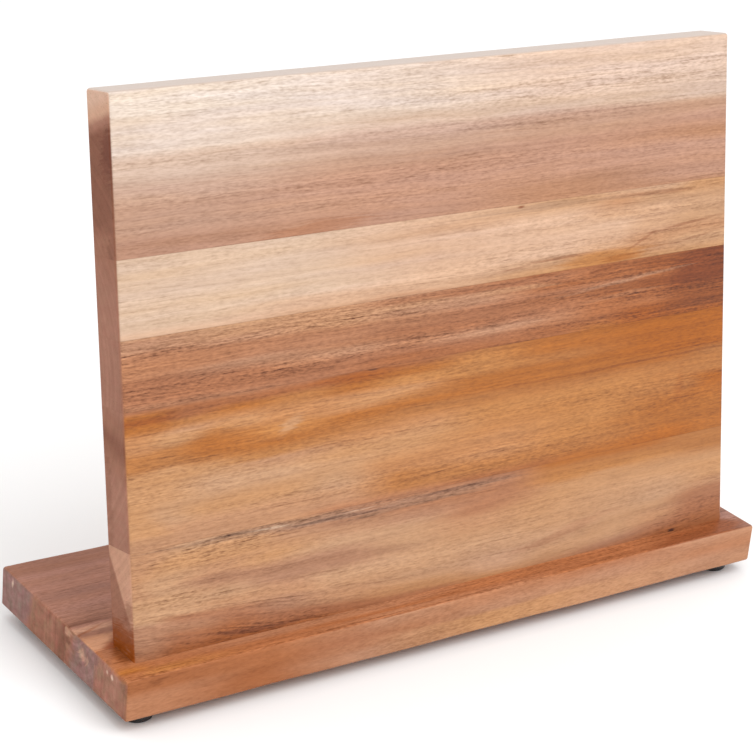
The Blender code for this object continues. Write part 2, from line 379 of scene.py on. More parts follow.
# Noise in the wood: waves a millimetre along, across and through it, detail and roughness
TEXTURES = {
    "soft": ((0.010, 0.045, 0.045), 2.0, 0.5),
    "tight": ((0.030, 0.22, 0.22), 2.0, 0.5),
    "ripple": ((0.11, 0.03, 0.03), 1.5, 0.5),
    "fibre": ((0.38, 1.5, 1.5), 1.5, 0.6),
    "pores": ((0.13, 1.5, 1.5), 1.0, 0.5),
    "bands": ((0.0045, 0.30, 0.3), 3.0, 0.6),
    "lines": ((0.022, 0.85, 0.8), 2.0, 0.65),
    "dashes": ((0.070, 1.15, 1.1), 1.5, 0.6),
    "coarse": ((0.010, 0.13, 0.1), 2.0, 0.5),
    "dark": ((0.035, 1.35, 0.6), 2.0, 0.6),
    "hairs": ((0.015, 1.5, 0.6), 1.5, 0.5),
    "busy": ((0.005, 0.10, 0.1), 1.5, 0.5),
    "cast": ((0.012, 0.16, 0.1), 2.0, 0.5),
    "mottle": ((0.05, 0.22, 0.30), 3.0, 0.6),
    "rings": ((0.01, 0.45, 1), 3.0, 0.6),
    "dots": ((0.3, 2.0, 2.0), 1.5, 0.5),
    "hue": ((0.05, 0.30, 0.22), 2.0, 0.5),
}
SEED_SHIFT = (131.7, 57.3, 91.1)
GRAIN_SHIFT = 40
ENDS_SHIFT = 7
VIGOUR_SPAN = (60, 240)
JOINT_WIDTH = (0.30, 0.08)
CAST_TINT = (-0.08, 0.03, 0.30)
HUE_TINT = (-0.25, 0.35, 0.10)
SEAM_TINT = (0.9, 1.0, 1.1)


class Wood(Graph):
    """Acacia. A point is (along, across, through) a stave in millimetres: along the grain,
    across its wide face, and through from that face."""

    def __init__(self, name, seed, place, look):
        super().__init__(name)
        self.seed, self.look = seed, look
        rotation, location, shape, offset = place
        inputs = {"Vector": self.objects(), "Location": location, "Rotation": rotation,
                  "Scale": (MM, MM, MM)}
        local = Field(self, self.node("Mapping", inputs, vector_type="TEXTURE").outputs[0])
        x, y, z = self.parts(local)
        if shape == "board":
            self.along, self.across, self.through = x + BOARD_HIGH.x / MM, z, y
        else:
            self.along = x + BASE_HIGH.x / MM
            self.across, self.through = y + offset[0], offset[1] - z
        point = self.vector(self.along, self.across, self.through)
        shift = tuple(seed * step for step in SEED_SHIFT)
        self.moved = self.vectors("ADD", point, shift)
        self.end = self.mapped(self.facing(0), 0.5, 0.9)
        self.soft = self.wave("soft", self.moved)
        self.tight = self.wave("tight", self.moved)
        self.fibre = self.wave("fibre", self.moved)
        self.pores = self.mapped(self.texture("pores", self.moved), 0.60, 0.74)
        self.level = self.find_level()
        self.flat = self.vector(self.along, self.level, 0)
        self.grain = self.find_grain()
        self.lines = self.wave("lines", self.grain)
        self.dark = self.mapped(self.texture("dark", self.grain), 0.57, 0.68)
        self.ragged = self.lines * 1.9 + self.tight * 0.8 + self.soft * 0.5

    def texture(self, name, vector):
        return self.noise(vector, *TEXTURES[name])

    def wave(self, name, vector):
        """A texture that swings to both sides of 0."""
        return self.texture(name, vector) - 0.5

    def facing(self, axis):
        """1 where the surface faces along the axis, either way, and 0 where it runs with it."""
        return self.maths("ABSOLUTE", self.parts(self.normals())[axis])

    def find_level(self):
        """The height across the stave, but following the slope, waves and bow of the grain."""
        look = self.look
        level = self.across + self.along * look["slope"] + self.through * look["dip"]
        level = level + self.soft * look["wave"] + self.tight * look["wave"] * 0.3
        if "bow" in look:
            centre, half, height, reach = look["bow"]
            away = (self.along - centre) * (1 / half)
            level = level + (1 - away * away) * height * self.mapped(self.across, reach, 0)
        return level

    def find_grain(self):
        """(along, distance from the pith, depth): the coordinates that growth rings follow."""
        pith_across, pith_through = self.look["pith"]
        offset = self.vectors("ADD", self.vector(0, self.level, self.through),
                              (0, -pith_across, -pith_through))
        ring = self.vectors("LENGTH", offset)
        return self.vectors("ADD", self.vector(self.along, ring, self.through * 0.15),
                            (self.seed * GRAIN_SHIFT, 0, 0))

    def spot(self, point, centre, radii, angle):
        """1 in the middle of an oval with ragged edges, and 0 outside it."""
        inputs = {"Vector": point, "Location": (*centre, 0), "Rotation": (0, 0, radians(angle)),
                  "Scale": (*radii, 1)}
        unit = Field(self, self.node("Mapping", inputs, vector_type="TEXTURE").outputs[0])
        return self.mapped(self.vectors("LENGTH", unit) + self.ragged, 1.15, 0.35)

    def patched(self, colour, point, blots, lit):
        """The colour with spots of other colours. A blot is (colour, centre, radii, angle,
        strength)."""
        for name, centre, radii, angle, strength in blots:
            mask = self.spot(point, centre, radii, angle) * strength
            colour = self.mixed(mask, colour, tone(name, lit))
        return colour

    def striped(self, level, drift, stripes, lit):
        """Colours across the grain that change along it. stripes is a list of (place, ramp)."""
        colour = self.ramp(level, stripes[0][1], lit)
        for (start, _), (stop, stops) in zip(stripes, stripes[1:]):
            after = self.ramp(level, stops, lit)
            colour = self.mixed(self.mapped(drift, start, stop), colour, after)
        return colour

    def face_colour(self):
        """The wide faces, long edges and fronts."""
        look, lit = self.look, self.look["lit"]
        busy = self.mapped(self.texture("busy", self.grain), 0.36, 0.64, 0.7, 1.3)
        busy = busy * self.mapped(self.along, *VIGOUR_SPAN, *look["vigour"])
        for centre, radii, angle, amount in look["rough"]:
            busy = busy + self.spot(self.flat, centre, radii, angle) * amount

        drift = self.along + self.soft * 60
        colour = self.striped(self.level, drift, look["faces"], lit)
        if "fronts" in look:
            forward = self.mapped(self.facing(1), 0.4, 0.8)
            height = look["height"] - self.through + self.soft * 4 + self.tight * 3
            front = self.striped(height, drift, look["fronts"], FRONT)
            colour = self.mixed(forward, colour, front)
            busy = busy * (1 - forward * 0.6)
        colour = self.patched(colour, self.flat, look["blots"], lit)

        coarse = self.mapped(self.texture("coarse", self.grain), 0.42, 0.62)
        hairs = self.mapped(self.texture("hairs", self.grain), 0.60, 0.70)
        dashes = self.wave("dashes", self.grain) * (coarse * -0.7 - 0.3)
        fine = self.lines * -look["lines"] + self.fibre * -look["fibre"]
        fine = fine + self.pores * look["pores"] + dashes * look["dashes"]
        fine = fine + self.dark * (coarse * 0.8 + 0.2) * look["dark"] + hairs * look["hairs"]
        fine = self.maths("MAXIMUM", fine, fine * 0.75)
        shade = fine * busy - self.wave("bands", self.grain) * look["bands"]
        shade = shade - self.wave("ripple", self.moved) * look["ripple"]
        colour = self.shaded(colour, shade, look["warmth"])
        colour = self.shaded(colour, self.wave("cast", self.grain), CAST_TINT)
        # Painted sheen: faces that look up take the colour under the edge key, a grey reflection
        # of the pale studio on the board's top face.
        if "edge" in look:
            painted_sheen_mask = self.mapped(self.parts(self.normals())[2], 0.7, 0.95)
            colour = self.mixed(painted_sheen_mask, colour, tone(look["edge"], TOP))
        return colour

    def end_colour(self):
        """The end grain, with rings round a pith of its own."""
        look = self.look
        mottle = self.wave("mottle", self.moved) * look["mottle"]
        turned = self.across - self.through * look["end_slope"] + mottle * 8
        colour = self.ramp(turned, look["ends"], END)
        section = self.vector(self.through, self.across, 0)
        colour = self.patched(colour, section, look["end_blots"], END)
        pith_across, pith_through = look["end_pith"]
        offset = self.vector(0, self.across - pith_across, self.through - pith_through)
        rings = self.vector(self.along, self.vectors("LENGTH", offset), self.seed * ENDS_SHIFT)
        dots = self.mapped(self.texture("dots", self.moved), 0.56, 0.75)
        shade = self.wave("rings", rings) * -look["rings"] + dots * 0.20
        shade = shade - (self.tight + self.soft) * 0.25 + mottle
        hue = self.wave("hue", self.moved) * look["mottle"]
        return self.shaded(self.shaded(colour, shade, look["warmth"]), hue, HUE_TINT)

    def seamed(self, colour):
        """The colour with thin dark lines at the glue joints."""
        seam = 0.0
        for joint in self.look["joints"]:
            gap = self.maths("ABSOLUTE", self.across - joint)
            seam = self.mapped(gap, *JOINT_WIDTH) + seam
        return self.shaded(colour, seam * (0.17 - self.end * 0.12), SEAM_TINT)


def wood(name, seed, place, look):
    g = Wood(name, seed, place, look)
    colour = g.mixed(g.end, g.face_colour(), g.end_colour())
    if look["joints"]:
        colour = g.seamed(colour)
    g.bump(g.fibre * 0.3 - g.pores * 0.6 - g.dark * 0.15, 0.00006, 0.6)
    dry = g.pores + g.end * 0.5 + g.soft * 0.4
    roughness = g.mapped(dry, -0.2, 1.2, 0.36, 0.56, smooth=False)
    lacquer = g.mapped(g.end, 0, 1, look["lacquer"], 0.0)
    return g.finish(Base_Color=colour, Roughness=roughness, Specular_IOR_Level=0.06,
                    Coat_Weight=lacquer, Coat_Roughness=0.42)


BOARD_PLACE = (BOARD_SPACE.to_euler(), BOARD_SPACE.to_translation(), "board", None)
BASE_PLACE = ((0, 0, 0), (0, 0, 0), "base", (-BASE_LOW.y / MM, BASE_HIGH.z / MM))
COMMON = {
    "slope": 0.0, "dip": 0.35, "wave": 5.0, "pith": (-60, 30), "blots": (), "end_blots": (),
    "bands": 0.60, "lines": 0.60, "dashes": 0.60, "dark": 0.20, "fibre": 0.90, "pores": 0.14,
    "ripple": 0.12, "warmth": (0.85, 1.0, 1.12), "end_slope": 0.3, "lit": FACE,
    "hairs": 0.16, "rings": 0.55, "end_pith": (110, 70), "vigour": (1.0, 1.0), "rough": (),
    "mottle": 0.25, "lacquer": 0.59,
}
BASE_COMMON = {"lit": TOP, "lacquer": 0.10, "mottle": 1.1, "rings": 0.8}

LOOKS = {}
LOOKS["top"] = {
    # The palest stops near the top of this face, cream and milk, hold painted sheen, a wash of
    # reflected light, over paler wood.
    "faces": (
        (30, "155 dusk 160 dusk 166 rose 173 rose 179 blush 186 shell 191 shell 195 cream "
             "204 cream 209 milk 217 milk"),
        (120, "155 dusk 163 salmon 176 salmon 182 rose 186 blush 191 blush 195 shell 201 cream "
              "217 cream"),
        (215, "155 copper 163 copper 169 salmon 180 salmon 186 rose 191 rose 196 shell 201 peach "
              "217 peach"),
        (290, "155 copper 163 salmon 173 salmon 178 copper 184 salmon 190 rose 195 shell "
              "203 shell 208 peach 217 peach"),
    ),
    "ends": "155 hazel 164 hazel 172 walnut 193 walnut 203 walnut 207 mauve 211 rose 217 blush",
    "end_blots": (("bark", (1, 194), (8, 12), 0, 0.7), ("walnut", (2, 158), (5, 24), 0, 0.6)),
    "blots": (("russet", (88, 158), (30, 3.0), 2, 0.4), ("shell", (255, 211), (12, 5), 80, 0.35)),
    # The edge colour is painted sheen: the grey reflection of the pale studio on the board's top
    # face.
    "slope": 0.008, "edge": "painted_sheen_grey", "end_slope": -0.3, "vigour": (0.85, 0.95),
}
LOOKS["upper"] = {
    "faces": (
        (30, "125 wheat 130 straw 155 straw"),
        (80, "125 biscuit 129 wheat 134 straw 155 straw"),
        (150, "125 biscuit 131 wheat 146 wheat 150 biscuit 155 wheat"),
        (205, "125 honey 130 sand 134 wheat 148 wheat 153 sand 155 sand"),
        (237, "125 amber 130 amber 133 biscuit 142 wheat 146 biscuit 151 fawn 155 biscuit"),
        (262, "125 honey 130 fawn 134 fawn 139 biscuit 146 biscuit 150 sand 155 biscuit"),
        (287, "125 honey 131 sand 136 fawn 140 sand 148 sand 155 honey"),
    ),
    "ends": "125 mauve 140 mauve 155 hazel",
    "blots": (
        ("amber", (234, 128.2), (26, 3.4), 3, 0.9), ("ochre", (240, 127.2), (14, 1.8), 2, 0.7),
        ("umber", (184, 129.5), (14, 0.7), 2, 0.35), ("umber", (208, 130.8), (22, 0.8), 2, 0.5),
        ("umber", (252, 133.2), (11, 0.8), 22, 0.4), ("umber", (279, 137.6), (26, 0.8), 5, 0.4),
        ("umber", (284, 131.5), (16, 0.7), 8, 0.3), ("greige", (195, 153), (60, 1.6), -1, 0.35),
        ("umber", (187, 154.4), (2.6, 0.8), 0, 0.8), ("cocoa", (262, 152.5), (22, 1.2), -2, 0.4),
        ("chestnut", (130, 126), (34, 1.2), 0, 0.4),
    ),
    "wave": 3.0, "lines": 0.4, "dashes": 0.5, "fibre": 0.75, "vigour": (0.7, 1.05),
}
LOOKS["centre"] = {
    "faces": (
        (7, "98 chestnut 100 brick 107 brick 110 chestnut 118 chestnut 121 copper 124 copper "
            "126 sand"),
        (45, "98 chestnut 100 brick 105 brick 109 copper 112 chestnut 116 chestnut 119 copper "
             "122 fawn 126 sand"),
        (95, "98 brick 103 brick 107 copper 110 chestnut 115 chestnut 119 fawn 126 fawn"),
        (130, "98 russet 101 russet 103 brick 106 chestnut 111 brick 115 chestnut 119 copper "
              "121 fawn 124 chestnut 126 copper"),
        (170, "98 russet 102 brick 105 copper 109 brick 115 brick 119 copper 121 copper 123 brick "
              "126 chestnut"),
        (207, "98 russet 101 russet 106 chestnut 110 brick 114 russet 116 brick 119 russet "
              "123 brick 126 russet"),
        (237, "98 ochre 103 russet 109 russet 113 sienna 115 sienna 117 brick 119 sienna "
              "122 sienna 126 russet"),
        (262, "98 rust 103 rust 107 russet 110 sienna 114 cocoa 118 sienna 122 cocoa 126 sienna"),
        (287, "98 rust 102 cocoa 109 cocoa 114 mahogany 124 mahogany 126 cocoa"),
    ),
    "ends": "98 mauve 112 mauve 125 mauve",
    "blots": (
        ("mahogany", (297, 116), (22, 9), 0, 0.5), ("fawn", (182, 121), (30, 1.5), -1, 0.7),
        ("copper", (240, 116.4), (42, 1.0), 4, 0.75),
        ("chestnut", (236, 110.6), (38, 0.9), 3, 0.6), ("copper", (176, 105.5), (34, 1.0), 0, 0.5),
        ("cocoa", (214, 119.5), (10, 1.2), -12, 0.5), ("cocoa", (231, 123), (14, 0.9), 8, 0.5),
        ("cocoa", (198, 124.4), (10, 0.7), -4, 0.5),
    ),
    "wave": 4.0, "bands": 0.95, "lines": 1.25, "dashes": 1.35, "dark": 0.3, "fibre": 1.5,
    "vigour": (1.1, 1.2),
}
LOOKS["lower"] = {
    "faces": (
        (8, "43 fawn 52 honey 62 honey 71 honey 76 tawny 79 tawny 83 apricot 86 apricot 90 ochre "
            "93 rust 95 ochre 98 brick"),
        (22, "43 fawn 49 fawn 55 sand 65 honey 73 honey 76 tawny 81 tawny 84 honey 87 fawn "
             "90 tawny 93 russet 96 russet 98 chestnut"),
        (42, "43 fawn 50 fawn 55 honey 64 sand 72 honey 75 tawny 77 ochre 82 ochre 85 tawny "
             "88 apricot 92 ochre 95 russet 98 chestnut"),
        (67, "43 fawn 50 fawn 55 honey 64 sand 69 fawn 72 amber 76 ochre 81 amber 86 apricot "
             "92 tawny 95 russet 98 brick"),
        (95, "43 chestnut 48 fawn 56 sand 66 honey 71 apricot 75 tawny 80 ochre 84 apricot "
             "88 apricot 91 ochre 95 rust 98 russet"),
        (130, "43 chestnut 48 tawny 52 tawny 56 apricot 66 honey 73 apricot 77 tawny 81 ochre "
              "84 tawny 88 apricot 91 amber 94 ochre 98 russet"),
        (170, "43 russet 48 tawny 54 apricot 73 amber 77 tawny 82 ochre 86 ochre 90 amber "
              "94 amber 98 tawny"),
        (215, "43 ochre 50 tawny 55 amber 72 amber 76 tawny 80 ochre 86 ochre 89 tawny 94 ochre "
              "98 ochre"),
        (262, "43 orange 52 ochre 58 ochre 67 tawny 76 tawny 79 ochre 83 orange 98 orange"),
        (287, "43 ochre 60 ochre 67 orange 72 tawny 79 tawny 83 orange 98 orange"),
    ),
    "ends": "43 mauve 50 mauve 66 mauve 74 hazel 82 walnut 90 hazel 98 mauve",
    "end_blots": (("walnut", (14, 60), (3, 30), 0, 0.4),),
    "blots": (
        ("honey", (20, 85.5), (15, 3.0), 0, 0.6), ("honey", (52, 86.5), (15, 2.2), -3, 0.5),
        ("sand", (73, 81.5), (8, 3.0), 25, 0.6), ("honey", (120, 86.5), (26, 3.0), 4, 0.55),
        ("ochre", (47, 79.5), (23, 3.2), -2, 0.6), ("ochre", (103, 79), (18, 2.2), 3, 0.5),
        ("rust", (98, 95.5), (28, 1.6), 1, 0.5), ("rust", (8, 93.5), (16, 1.6), 0, 0.5),
        ("ink", (112, 97.2), (2.4, 0.6), 0, 0.6), ("umber", (20, 95), (2.6, 0.7), 0, 0.5),
        ("umber", (235, 79.8), (80, 0.7), 0, 0.35), ("rust", (274, 66), (3, 8), -8, 0.4),
    ),
    "wave": 4.0, "vigour": (0.95, 1.2),
}
LOOKS["bottom"] = {
    "faces": (
        (6, "-6 chestnut -1 clay 3.5 copper 9 copper 12 sand 21 sand 27 fawn 43 fawn"),
        (22, "-2 russet 4 brick 8 clay 12 chestnut 15 sand 30 sand 37 honey 42 sand"),
        (42, "0 sienna 5 russet 10 brick 12 chestnut 15 fawn 20 sand 26 copper 31 fawn 36 honey "
             "43 fawn"),
        (67, "2 sienna 8 brick 13 copper 16 fawn 22 copper 25 copper 31 honey 37 fawn 40 clay "
             "43 fawn"),
        (95, "4 russet 9 brick 12 fawn 19 sand 23 copper 26 copper 30 sand 35 fawn 38 clay "
             "43 clay"),
        (130, "4 russet 8 chestnut 11 honey 16 sand 21 sand 30 sand 34 copper 38 chestnut "
              "43 chestnut"),
        (170, "5 chestnut 9 honey 12 biscuit 20 sand 27 fawn 31 chestnut 43 chestnut"),
        (207, "5 chestnut 9 fawn 12 sand 32 honey 36 amber 40 tawny 43 ochre"),
        (237, "3 russet 7 chestnut 9 copper 12 sand 34 honey 37 amber 41 tawny 43 ochre"),
        (262, "2 russet 5 russet 9 chestnut 13 fawn 19 sand 32 honey 38 amber 41 tawny 43 ochre"),
        (288, "0 russet 6 russet 12 brick 17 chestnut 20 fawn 23 honey 31 honey 37 tawny "
              "43 tawny"),
    ),
    "ends": "-30 hazel 9 hazel 13 dusk 43 dusk",
    # The rust and umber blots low on this end are partly the wood's own colour and partly painted
    # shade and painted warm light reflected from the base below.
    "end_blots": (
        ("rust", (9, -1), (24, 10), 0, 0.95), ("umber", (9, 7), (22, 9), 0, 0.75),
        ("walnut", (3, 18), (7, 7), 20, 0.5),
    ),
    "blots": (
        ("greige", (70, 40.8), (64, 2.0), -1, 0.55), ("greige", (135, 39.8), (50, 2.4), 1, 0.5),
        ("ink", (52, 41.6), (14, 0.5), -2, 0.35), ("straw", (64, 41.2), (12, 0.6), -1, 0.5),
        ("ink", (84, 40.2), (20, 0.5), 1, 0.35), ("straw", (104, 41.0), (12, 0.5), 0, 0.35),
        ("walnut", (112, 39.4), (22, 0.6), -1, 0.5), ("walnut", (146, 41.0), (22, 0.6), 2, 0.45),
        ("clay", (44, 26.5), (28, 2.2), -4, 0.4), ("clay", (104, 24.0), (34, 2.0), -3, 0.35),
        ("bark", (56, 4.3), (26, 1.4), 5, 0.5), ("ink", (270, 4.0), (2.4, 1.0), 0, 0.9),
        ("chestnut", (205, 17), (34, 1.4), 4, 0.45),
    ),
    "rough": (
        ((92, 40.6), (84, 3.0), 0, 1.4), ((56, 4.4), (46, 3.2), 5, 1.2),
        ((22, 21), (22, 4), 0, 0.8), ((30, 38), (30, 4), 0, 0.8), ((284, 9), (34, 7), 0, 1.1),
    ),
    "bow": (172, 130, 9, 30), "wave": 3.5, "end_slope": 1.78, "vigour": (0.95, 0.65),
}
LOOKS["front"] = {
    "faces": (
        (5, "0 cinnamon 4 cinnamon 7 ochre 12 cinnamon 20 russet 26 russet"),
        (17, "0 cinnamon 3.5 tawny 8 cinnamon 15 chestnut 19 cinnamon 23 russet 26 cocoa"),
        (75, "0 cinnamon 6 cinnamon 9 chestnut 26 russet"),
        (130, "0 cinnamon 4 chestnut 6 cinnamon 9 chestnut 26 russet"),
        (180, "0 chestnut 6 cinnamon 9 cinnamon 26 russet"),
        (215, "0 cinnamon 5 russet 9 cinnamon 26 russet"),
        (240, "0 russet 6 russet 9 cinnamon 26 russet"),
        # Towards the right end the ledge darkens to cocoa, sienna and plum: painted shade.
        (265, "0 cocoa 6 cocoa 9 sienna 26 sienna"),
        (300, "0 cocoa 8 cocoa 26 sienna"),
        (312, "0 hazel 5 plum 26 plum"),
    ),
    "fronts": (
        (25, "0 chestnut 9 chestnut 14 russet 17.5 russet"),
        (65, "0 russet 8 sienna 12 russet 17.5 russet"),
        (105, "0 copper 4 copper 8 chestnut 12 brick 17.5 chestnut"),
        (130, "0 fawn 7 fawn 11 chestnut 17.5 copper"),
        (180, "0 honey 8 honey 10 copper 17.5 chestnut"),
        (235, "0 fawn 7 fawn 11 copper 17.5 brick"),
        (290, "0 copper 6 copper 10 chestnut 17.5 copper"),
    ),
    "blots": (("umber", (8.5, 21), (4.0, 10), -10, 0.75),),
    "ends": "0 hazel 6 mauve 12 mauve 20 mauve 26 taupe",
    "end_blots": (
        ("shell", (3.6, 11.5), (1.2, 1.4), 15, 0.7), ("shell", (3.2, 15.5), (1.0, 1.0), 15, 0.5),
        ("russet", (0.5, 6), (1.6, 8), 0, 0.6),
    ),
    "height": 17.5, "pith": (-50, 20), "end_pith": (-70, 12), "lit": LEDGE, "lines": 1.0,
    "dashes": 1.0, "fibre": 1.5,
}
LOOKS["middle"] = {
    "faces": (
        (9, "26 brick 29 copper 32 copper 35 clay 39 hazel 43 dusk 46 plum 48 walnut 50 hazel"),
        (17, "26 cocoa 31 umber 38 garnet 44 hazel 50 hazel"),
        (60, "26 cocoa 36 cocoa 44 hazel 50 hazel"),
        (200, "26 clay 40 fawn 50 clay"),
    ),
    "blots": (
        ("umber", (7, 26), (4, 5), -15, 0.6), ("cocoa", (6, 41.5), (9, 0.8), 20, 0.55),
        ("walnut", (12, 50.5), (16, 2.0), 12, 0.6),
    ),
    "ends": "26 taupe 31 taupe 38 taupe 44 hazel 47 walnut 50 walnut",
    "end_blots": (
        ("salmon", (6, 34.5), (3.5, 4), 0, 0.6), ("salmon", (2, 48), (2.0, 3.6), 0, 0.6),
    ),
    "pith": (44, -3), "end_pith": (44, -6),
}
LOOKS["back"] = {
    "faces": (
        (20, "50 hazel 55 mauve 66 plum 72 mauve 80 plum 86 mauve 90 plum 96 hazel 105 mauve"),
        (285, "50 mauve 66 plum 80 mauve 92 plum 105 hazel"),
    ),
    "ends": "50 walnut 54 hazel 74 hazel 80 taupe 105 taupe",
    "end_blots": (("shell", (3.0, 95), (2.0, 1.0), 10, 0.7),),
    "pith": (20, -4), "end_pith": (170, 10),
}


def wood_materials():
    board_joints = [height / MM for height in JOINT_HEIGHTS]
    base_joints = [(depth - BASE_LOW.y) / MM for depth in JOINT_DEPTHS]
    made = {}
    for names, place, joints, common in ((BOARD_STAVES, BOARD_PLACE, board_joints, {}),
                                         (BASE_STAVES, BASE_PLACE, base_joints, BASE_COMMON)):
        for i, name in enumerate(names):
            inner = [joint for joint in joints[i:i + 2] if joint in joints[1:-1]]
            look = {**COMMON, **common, "joints": inner, **LOOKS[name]}
            made[name] = wood(f"acacia_{name}", len(made) + 1, place, look)
    return made


def metal(name, colour, roughness, grain):
    g = Graph(name)
    fine = g.noise(g.objects(), (grain, grain, grain * 0.2), detail=3.0)
    clouds = g.noise(g.objects(), (260, 260, 260), detail=2.0)
    tint = g.shaded(srgb(*colour), clouds * 0.25 + fine * 0.12, (1, 1, 0.94))
    g.bump(fine, 0.00002, 0.4)
    rough = g.mapped(fine + clouds * 0.5, 0.3, 1.2, roughness - 0.08, roughness + 0.14)
    return g.finish(Base_Color=tint, Roughness=rough, Metallic=1.0)


def beech():
    g = Graph("beech")
    fibres = g.noise(g.objects(), (2200, 2200, 90), detail=3.0)
    flecks = g.mapped(g.noise(g.objects(), (900, 900, 260), detail=1.0), 0.6, 0.7)
    tint = g.shaded(srgb(219, 184, 148), fibres * 0.3 + flecks * 0.2, (0.8, 1, 1.2))
    g.bump(fibres, 0.00005, 0.5)
    rough = g.mapped(fibres, 0.3, 0.7, 0.55, 0.7)
    return g.finish(Base_Color=tint, Roughness=rough)


def rubber():
    g = Graph("dark_rubber")
    cast = g.noise(g.objects(), (1400, 1400, 1400), detail=3.0)
    dust = g.mapped(g.noise(g.objects(), (420, 420, 420), detail=4.0), 0.52, 0.75)
    tint = g.mixed(dust * 0.35, srgb(30, 25, 27), srgb(72, 66, 68))
    g.bump(cast, 0.00004, 0.5)
    rough = g.mapped(cast + dust * 0.4, 0.3, 1.0, 0.26, 0.5)
    return g.finish(Base_Color=tint, Roughness=rough)


# ---------------------------------------------------------------- shapes


def loft(rings, closed=False):
    """A solid skin over rings of points. It is capped unless the last ring meets the first."""
    bm = bmesh.new()
    skin = [[bm.verts.new(point) for point in ring] for ring in rings]
    pairs = list(zip(skin, skin[1:]))
    if closed:
        pairs.append((skin[-1], skin[0]))
    else:
        bm.faces.new(skin[0])
        bm.faces.new(skin[-1])
    for near, far in pairs:
        for i in range(len(near)):
            after = (i + 1) % len(near)
            bm.faces.new((near[i], near[after], far[after], far[i]))
    bmesh.ops.recalc_face_normals(bm, faces=bm.faces)
    return bm


def lathe(profile, steps, closed=False, shaped=None):
    """Rings about Z from (radius, height) points. shaped(angle, height, radius) may vary them."""
    rings = []
    for radius, height in profile:
        ring = []
        for i in range(steps):
            angle = 2 * pi * i / steps
            there = shaped(angle, height, radius) if shaped else radius
            ring.append((there * cos(angle), there * sin(angle), height))
        rings.append(ring)
    return loft(rings, closed)


def arc(centre, radius, start, stop, steps):
    """Points on a circle in the plane of a profile, from start to stop in degrees."""
    across, up = centre
    turns = [radians(start + (stop - start) * i / steps) for i in range(steps + 1)]
    return [(across + radius * cos(turn), up + radius * sin(turn)) for turn in turns]


def placed(bm, box, height=0.0):
    """Moves a shape from the Z axis to the middle of a box, and up by height."""
    middle = (box[0] + box[1]) / 2
    bmesh.ops.translate(bm, verts=bm.verts, vec=(middle.x, middle.y, height))
    return bm


def radius_of(box):
    return (box[1].x - box[0].x) / 2


def stave_outline(low, high, outer, inset, radius, slope):
    """The stave's section as (depth, height) points. Its outer sides move in by inset, and
    the corners between two outer sides are rounded. slope tilts its lower side."""
    sides = {"near": low[0], "far": high[0], "under": low[1], "over": high[1]}
    inwards = {"near": 1, "far": -1, "under": 1, "over": -1}
    points = []
    order = (("near", "under", 180), ("far", "under", 270), ("far", "over", 0),
             ("near", "over", 90))
    for across, up, start in order:
        y, z = sides[across], sides[up]
        if across in outer and up in outer:
            centre = (y + radius * inwards[across], z + radius * inwards[up])
            points += arc(centre, radius - inset, start, start + 90, ROUNDING_STEPS)
            continue
        if across in outer:
            y += inset * inwards[across]
        if up in outer:
            z += inset * inwards[up]
        if up == "under":
            z += (y - low[0]) * slope
        points.append((y, z))
    return points


def stave(low, high, outer, seed, slope=0.0):
    """A stave from low to high. Its ends and outer edges are rounded over by hand sanding."""
    left, right = low.x, high.x
    turns = [pi / 2 * CAP_TURN * (1 - i / ROUNDING_STEPS) for i in range(ROUNDING_STEPS)]
    sections = [(left + EDGE_ROUNDING * (1 - sin(turn)), EDGE_ROUNDING * (1 - cos(turn)))
                for turn in turns]
    start, stop = left + EDGE_ROUNDING, right - EDGE_ROUNDING
    for i in range(STAVE_SECTIONS + 1):
        sections.append((start + (stop - start) * i / STAVE_SECTIONS, 0.0))
    sections += [(left + right - x, inset) for x, inset in reversed(sections[:ROUNDING_STEPS])]
    rings = []
    for x, inset in sections:
        fade = min(1.0, (x - left) / EDGE_FADE, (right - x) / EDGE_FADE)
        wander = sin(x * 61 + seed) + 0.6 * sin(x * 143 + 2.1 * seed)
        radius = EDGE_ROUNDING + EDGE_VARIATION * fade * wander
        outline = stave_outline((low.y, low.z), (high.y, high.z), outer, inset, radius, slope)
        rings.append([(x, y, z) for y, z in outline])
    return loft(rings)


def block(low, high, rounding=0.0, steps=1):
    bm = bmesh.new()
    bmesh.ops.create_cube(bm, size=1.0)
    for vertex in bm.verts:
        vertex.co = [low[i] + (vertex.co[i] + 0.5) * (high[i] - low[i]) for i in range(3)]
    if rounding:
        bmesh.ops.bevel(bm, geom=bm.edges[:], offset=rounding, segments=steps, profile=0.5,
                        affect="EDGES")
    return bm


def new_object(name, data):
    obj = bpy.data.objects.new(name, data)
    bpy.context.scene.collection.objects.link(obj)
    return obj


def mesh_object(name, bm):
    mesh = bpy.data.meshes.new(name)
    bm.to_mesh(mesh)
    bm.free()
    return new_object(name, mesh)


def carved(bm, tools):
    """The mesh of bm with each tool's shape cut out of it."""
    target = mesh_object("target", bm)
    helpers = [mesh_object("tool", tool) for tool in tools]
    for helper in helpers:
        cut = target.modifiers.new("cut", "BOOLEAN")
        cut.operation = "DIFFERENCE"
        cut.solver = "EXACT"
        cut.object = helper
    graph = bpy.context.evaluated_depsgraph_get()
    result = bmesh.new()
    result.from_object(target, graph)
    for obj in (target, *helpers):
        bpy.data.meshes.remove(obj.data)
    return result


def piece(name, bm, space, material, replaced):
    """Adds a finished piece in the row frame. It stands for the CAD node replaced."""
    bmesh.ops.transform(bm, matrix=space, verts=bm.verts)
    obj = mesh_object(name, bm)
    obj.data.materials.append(material)
    obj.data.shade_smooth()
    obj.data.set_sharp_from_angle(angle=SHARP_ANGLE)
    weighted = obj.modifiers.new("even_shading", "WEIGHTED_NORMAL")
    weighted.keep_sharp = True
    weighted.weight = SHADING_WEIGHT
    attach(obj, "root")
    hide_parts(replaced)


# ---------------------------------------------------------------- fixings


